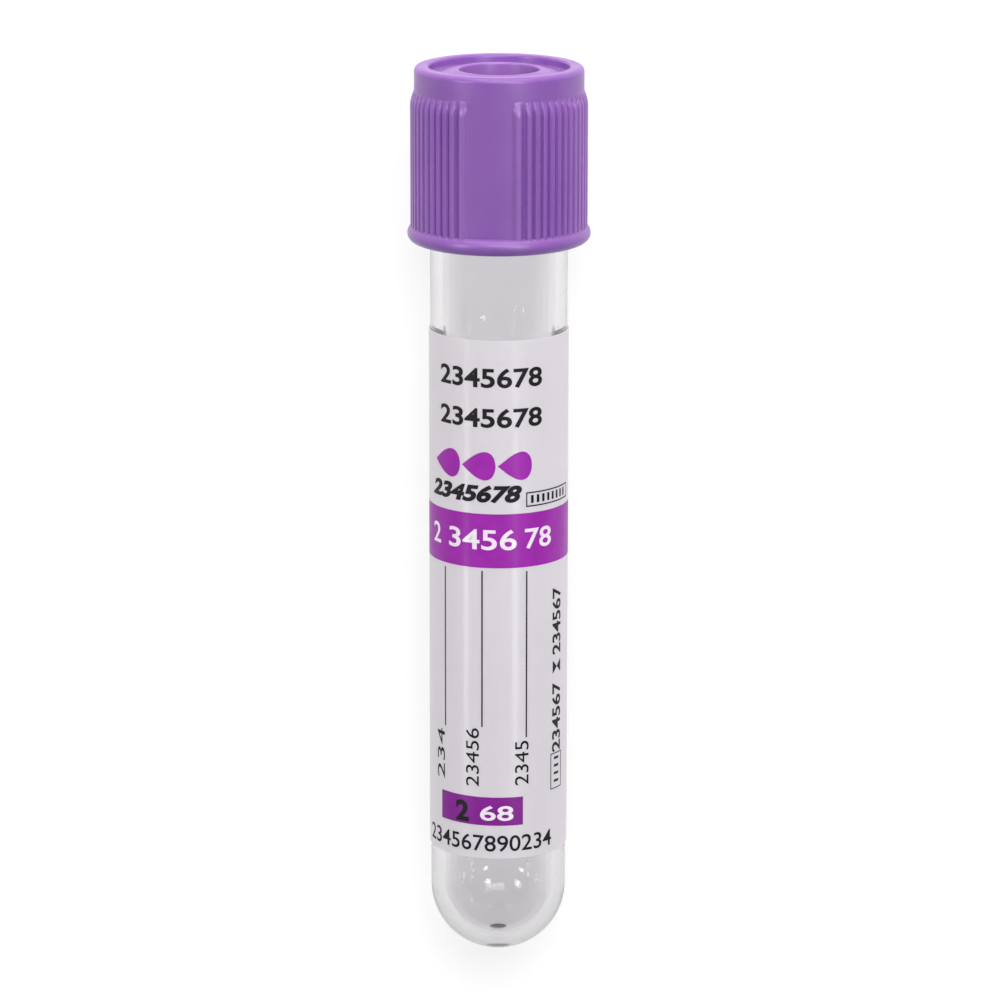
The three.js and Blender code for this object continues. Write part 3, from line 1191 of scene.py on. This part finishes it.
@dataclass(kw_only=True)
class Stopper(SubAssembly):
    """The rubber stopper: plug, seat and septum, with a needle well in its head."""

    tube: TubeMoulding
    shield: Shield
    body: str = "closure"
    plug_depth: float = 5.5
    plug_clearance: float = 0.08
    plug_chamfer: float = 0.4
    plug_wall: float = 2.8
    septum_thickness: float = 3.4
    seat_clearance: float = 0.1
    head_clearance: float = 0.15
    well_inset: float = 0.3
    well_depth: float = 2.6
    edge_rounding: float = 0.2
    segments: int = 96

    @property
    def septum_top(self) -> float:
        """Height of the septum's face over the flange's underside."""
        return self.shield.plate_underside - self.head_clearance - self.well_depth

    def profile(self) -> Profile:
        """Half section of the stopper, over the flange's underside."""
        shield = self.shield
        plug = self.tube.bore_radius(self.tube.length - self.plug_depth) - self.plug_clearance
        hollow = plug - self.plug_wall
        head = shield.skirt_radius - self.head_clearance
        well = shield.hole_radius - self.well_inset
        plug_end = shield.mouth_depth - self.plug_depth
        seat = shield.mouth_depth + self.seat_clearance
        head_top = shield.plate_underside - self.head_clearance
        underside = self.septum_top - self.septum_thickness
        edge = self.edge_rounding
        return [
            (0.0, underside),
            *arc(hollow - edge, underside - edge, edge, 90, 0, 4),
            *arc(hollow + edge, plug_end + edge, edge, 180, 270, 4),
            (plug - self.plug_chamfer, plug_end),
            (plug, plug_end + self.plug_chamfer),
            (plug, seat),
            *arc(head - edge, seat + edge, edge, -90, 0, 4),
            *arc(head - edge, head_top - edge, edge, 0, 90, 4),
            *arc(well + edge, head_top - edge, edge, 90, 180, 4),
            *arc(well - edge, self.septum_top + edge, edge, 0, -90, 4),
            (0.0, self.septum_top),
        ]

    def build(self) -> None:
        """Builds the stopper and dresses it."""
        mesh = spin_profile(self.profile(), self.segments)
        bmesh.ops.translate(mesh, verts=mesh.verts, vec=(0, 0, self.shield.start))
        self.hand_over(mesh, "stopper_moulding", BUTYL_RUBBER, "grey_rubber", ["rubber_stopper"])


# -------------------------------------------------------------------------------- studio


@dataclass(frozen=True)
class Softbox:
    """One soft light, aimed at the tube.

    Its place is given from the point that it shines at: how far off it stands, how far it is
    turned about the tube's axis from the label's front and how far it leans towards the
    closure. One for gloss only gives a reflection and no light on matt surfaces.
    """

    name: str
    distance: float
    turn_deg: float
    lean_deg: float
    width: float
    length: float
    watts: float
    colour: str = "ffffff"
    gloss_only: bool = False

    def build(self, lay: TubeLay, aim: Vector) -> None:
        """Hangs the light.

        Args:
            lay: where the tube lies.
            aim: the point that it shines at.
        """
        turn, lean = math.radians(self.turn_deg), math.radians(self.lean_deg)
        across = lay.side * math.sin(turn) + lay.front * math.cos(turn)
        away = across * math.cos(lean) + lay.axis * math.sin(lean)
        lamp = bpy.data.lights.new(self.name, "AREA")
        lamp.shape = "RECTANGLE"
        lamp.size, lamp.size_y = self.width, self.length
        lamp.energy = self.watts
        lamp.color = linear(self.colour)[:3]
        holder = add_object(self.name, lamp)
        along = (lay.axis - away * away.dot(lay.axis)).normalized()
        turned = Matrix((along.cross(away), along, away)).transposed().to_4x4()
        holder.matrix_world = Matrix.Translation(aim + away * self.distance) @ turned
        if self.gloss_only:
            holder.visible_diffuse = False


@dataclass(kw_only=True)
class Studio:
    """Pale floor, soft light and the camera."""

    lay: TubeLay
    floor_height: float
    floor_size: float = 4.0
    ambient: float = 0.42
    lens_mm: float = 171.25
    sensor_mm: float = 36.0
    distance: float = 0.447
    look_height: float = 44.03
    side_step: float = 0.126
    camera_lean_deg: float = 14.15
    camera_roll_deg: float = 0.077
    softboxes: tuple[Softbox, ...] = (
        Softbox("overhead_softbox", 0.8, 8.0, 36.0, 0.6, 0.4, 4.7),
        Softbox("closure_end_softbox", 0.5, 0.0, 78.0, 0.5, 0.3, 2.0, "ffefe2"),
        Softbox("right_strip", 0.606, 28.0, -16.0, 0.09, 0.085, 0.34, gloss_only=True),
        Softbox("left_strip", 0.606, -55.0, -16.0, 0.09, 0.085, 0.32, gloss_only=True),
        Softbox("right_lamp", 0.55, 25.0, 13.5, 0.11, 0.11, 1.0, gloss_only=True),
        Softbox("left_lamp", 0.55, -48.0, 14.0, 0.11, 0.11, 1.0, gloss_only=True),
    )

    def build_floor(self) -> None:
        """Lays the light table that the tube rests on."""
        mesh = bmesh.new()
        bmesh.ops.create_grid(mesh, x_segments=8, y_segments=8, size=self.floor_size / 2)
        bmesh.ops.translate(mesh, verts=mesh.verts, vec=(0, 0, self.floor_height))
        data = to_data(mesh, "light_table")
        data.materials.append(LIGHT_TABLE.build())
        add_object("light_table", data)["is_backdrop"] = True

    def build_light(self) -> None:
        """Sets the white surroundings and hangs the softboxes."""
        world = bpy.data.worlds.new("white_surroundings")
        world.use_nodes = True
        background = world.node_tree.nodes["Background"]
        background.inputs["Color"].default_value = (1.0, 1.0, 1.0, 1.0)
        background.inputs["Strength"].default_value = self.ambient
        bpy.context.scene.world = world
        aim = self.lay.point(self.look_height)
        for softbox in self.softboxes:
            softbox.build(self.lay, aim)

    def build_camera(self) -> None:
        """Puts the camera over the front of the label, leaning towards the closure."""
        lean, roll = math.radians(self.camera_lean_deg), math.radians(self.camera_roll_deg)
        back = self.lay.front * math.cos(lean) + self.lay.axis * math.sin(lean)
        level = self.lay.axis * math.cos(lean) - self.lay.front * math.sin(lean)
        up = level * math.cos(roll) - self.lay.side * math.sin(roll)
        aim = self.lay.point(self.look_height) + self.lay.side * self.side_step * MM
        lens = bpy.data.cameras.new("camera")
        lens.sensor_width, lens.lens = self.sensor_mm, self.lens_mm
        lens.clip_start, lens.clip_end = 0.01, 20.0
        camera = add_object("camera", lens)
        turn = Matrix((up.cross(back), up, back)).transposed().to_4x4()
        camera.matrix_world = Matrix.Translation(aim + back * self.distance) @ turn
        bpy.context.scene.camera = camera

    def build(self) -> None:
        """Builds the studio."""
        self.build_floor()
        self.build_light()
        self.build_camera()
        bpy.context.scene.view_settings.view_transform = "Standard"


def main() -> None:
    """Builds the pieces in order, then the studio."""
    logging.basicConfig(level=logging.INFO, format="%(name)s: %(message)s")
    nowhere = TubeLay(Vector((0, 0, 1)), Vector())
    tube = TubeMoulding(lay=nowhere)
    shield = Shield(lay=nowhere, tube=tube)
    stopper = Stopper(lay=nowhere, tube=tube, shield=shield)
    lay = TubeLay.from_packed(frame, shield.start + stopper.septum_top)
    label = Label(lay=lay, tube=tube)
    additive = DriedAdditive(lay=lay, tube=tube)
    for part in (tube, shield, stopper, label, additive):
        part.lay = lay
        part.build()
    Studio(lay=lay, floor_height=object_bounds()[0][2]).build()


if __name__ == "__main__":
    main()
